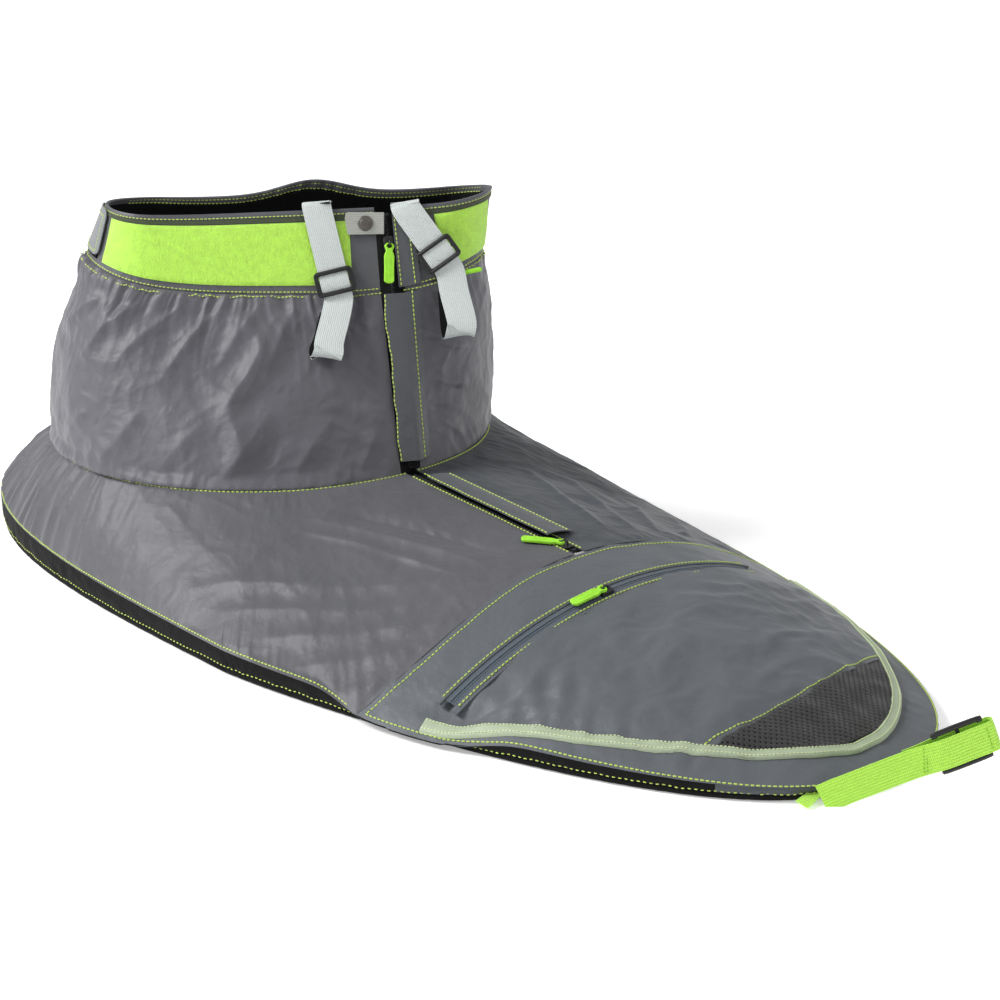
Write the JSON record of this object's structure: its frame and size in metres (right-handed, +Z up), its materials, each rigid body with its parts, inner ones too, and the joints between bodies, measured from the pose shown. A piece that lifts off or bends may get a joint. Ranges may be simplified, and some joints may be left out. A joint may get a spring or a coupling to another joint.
{
  "type": "kayak spray skirt",
  "caption": "Kayak spray skirt: tented deck with an elastic hem that grips a cockpit rim, zipped waist tunnel, waistband, suspenders, pocket and grab loop.",
  "frame": {"origin": "on the centre line in the plane of the hem's lower face, at the widest section of the deck", "axes": "+X towards the bow, +Y to port, +Z up out of the cockpit"},
  "size_m": [1.1934, 0.55, 0.3605],
  "materials": {
    "tunnel_fabric": "coated nylon, satin",
    "far_deck_fabric": "coated nylon, satin",
    "rand_fabric": "matte coated nylon",
    "binding": "matte grosgrain binding",
    "mesh": "matte knitted mesh",
    "reflective_tape": "fine glass bead tape",
    "loop_tape": "brushed loop pile",
    "lime_webbing": "ribbed webbing",
    "lime_cord": "braided cover",
    "tab_fabric": "matte webbing",
    "elastic_webbing": "woven elastic",
    "black_plastic": "satin moulded acetal",
    "zip_tape": "woven tape",
    "zip_coil": "moulded coil",
    "zip_metal": "black enamel",
    "lime_rubber": "satin moulded rubber",
    "snap_metal": "dark enamel"
  },
  "bodies": {
    "skirt": {"deck_starboard": "tunnel_fabric", "deck_port": "far_deck_fabric", "front_deck": "tunnel_fabric", "rand": "rand_fabric", "bow_rand_patch": "far_deck_fabric", "hem_casing": "rand_fabric", "shock_cord": "lime_cord", "pocket_panel": "tunnel_fabric", "pocket_mesh": "mesh", "reflective_tape": "reflective_tape", "tunnel_starboard": "tunnel_fabric", "tunnel_port": "tunnel_fabric", "waistband": "tunnel_fabric", "waist_elastic": "rand_fabric", "top_binding": "binding", "loop_patch_starboard": "loop_tape", "loop_patch_port": "loop_tape", "tunnel_zip_tape": "zip_tape", "tunnel_zip_coil": "zip_coil", "deck_zip_tape": "zip_tape", "deck_zip_coil": "zip_coil", "zip_stops": "black_plastic", "band_placket": "tunnel_fabric", "pocket_zip_tape": "zip_tape", "pocket_zip_coil": "zip_coil", "snap_stud": "snap_metal", "suspender_tails": "elastic_webbing", "waist_toggle": "lime_rubber"},
    "tunnel_slider": {"tunnel_slider": "zip_metal"},
    "tunnel_pull": {"tunnel_pull": "lime_rubber"},
    "deck_slider": {"deck_slider": "zip_metal"},
    "deck_pull": {"deck_pull": "lime_rubber"},
    "pocket_slider": {"pocket_slider": "zip_metal"},
    "pocket_pull": {"pocket_pull": "lime_rubber"},
    "tunnel_flap": {"tunnel_flap": "tunnel_fabric"},
    "deck_flap": {"deck_flap": "tunnel_fabric"},
    "snap_tab": {"snap_tab": "elastic_webbing", "snap_cap": "snap_metal"},
    "suspender_starboard": {"suspender_starboard": "elastic_webbing"},
    "suspender_port": {"suspender_port": "elastic_webbing"},
    "triglide_starboard": {"triglide_starboard": "black_plastic"},
    "triglide_port": {"triglide_port": "black_plastic"},
    "waist_tab": {"waist_hook_tab": "tab_fabric", "hook_patch": "rand_fabric"},
    "grab_loop": {"grab_loop": "lime_webbing"},
    "grab_slide": {"grab_slide": "black_plastic"}
  },
  "joints": [
    {"name": "tunnel_zip", "type": "slide", "parent": "skirt", "child": "tunnel_slider", "axis": [-0.3266, 0.1606, 0.9314], "range_m": [-0.175, 0]},
    {"name": "tunnel_pull_swing", "type": "hinge", "parent": "tunnel_slider", "child": "tunnel_pull", "pos_m": [-0.13714, 0.03449, 0.31915], "axis": [-0.473, -0.8756, 0.0974], "range_deg": [0, 85]},
    {"name": "deck_zip", "type": "slide", "parent": "skirt", "child": "deck_slider", "axis": [0.997, 0, -0.0779], "range_m": [-0.165, 0]},
    {"name": "deck_pull_swing", "type": "hinge", "parent": "deck_slider", "child": "deck_pull", "pos_m": [0.14924, 0, 0.09817], "axis": [-0.6671, 0.7431, 0.0521], "range_deg": [0, 120]},
    {"name": "pocket_zip", "type": "hinge", "parent": "skirt", "child": "pocket_slider", "pos_m": [0.237, 0, -0.35636], "axis": [1, 0, 0], "range_deg": [-22, 18]},
    {"name": "pocket_pull_swing", "type": "hinge", "parent": "pocket_slider", "child": "pocket_pull", "pos_m": [0.23822, -0.03505, 0.08897], "axis": [-0.9848, -0.0136, 0.1731], "range_deg": [0, 120]},
    {"name": "tunnel_flap_swing", "type": "hinge", "parent": "skirt", "child": "tunnel_flap", "pos_m": [-0.07138, 0.02757, 0.12572], "axis": [-0.2395, 0.1379, 0.9611], "range_deg": [0, 110]},
    {"name": "deck_flap_swing", "type": "hinge", "parent": "skirt", "child": "deck_flap", "pos_m": [0.03877, 0.026, 0.10521], "axis": [-0.997, 0, 0.0779], "range_deg": [0, 120]},
    {"name": "snap_tab_swing", "type": "hinge", "parent": "skirt", "child": "snap_tab", "pos_m": [-0.14505, 0.03537, 0.33713], "axis": [-0.2494, 0.2222, 0.9425], "range_deg": [0, 120]},
    {"name": "suspender_starboard_swing", "type": "hinge", "parent": "skirt", "child": "suspender_starboard", "pos_m": [-0.19595, -0.00701, 0.35255], "axis": [-0.6652, -0.7466, 0], "range_deg": [0, 75]},
    {"name": "triglide_starboard_adjust", "type": "slide", "parent": "suspender_starboard", "child": "triglide_starboard", "axis": [-0.3998, 0.0391, 0.9157], "range_m": [0, 0.035]},
    {"name": "suspender_port_swing", "type": "hinge", "parent": "skirt", "child": "suspender_port", "pos_m": [-0.13941, 0.05645, 0.35255], "axis": [-0.6652, -0.7466, 0], "range_deg": [0, 75]},
    {"name": "triglide_port_adjust", "type": "slide", "parent": "suspender_port", "child": "triglide_port", "axis": [-0.5911, -0.2559, 0.765], "range_m": [0, 0.03]},
    {"name": "waist_tab_swing", "type": "hinge", "parent": "skirt", "child": "waist_tab", "pos_m": [-0.38195, -0.15453, 0.29799], "axis": [0.0174, -0.5356, -0.8443], "range_deg": [0, 110]},
    {"name": "grab_loop_swing", "type": "hinge", "parent": "skirt", "child": "grab_loop", "pos_m": [0.522, -0.077, 0.006], "axis": [0, 0, 1], "range_deg": [-35, 8]},
    {"name": "grab_slide_adjust", "type": "slide", "parent": "grab_loop", "child": "grab_slide", "axis": [0.547, 0.761, 0.3488], "range_m": [-0.01, 0.008]}
  ]
}
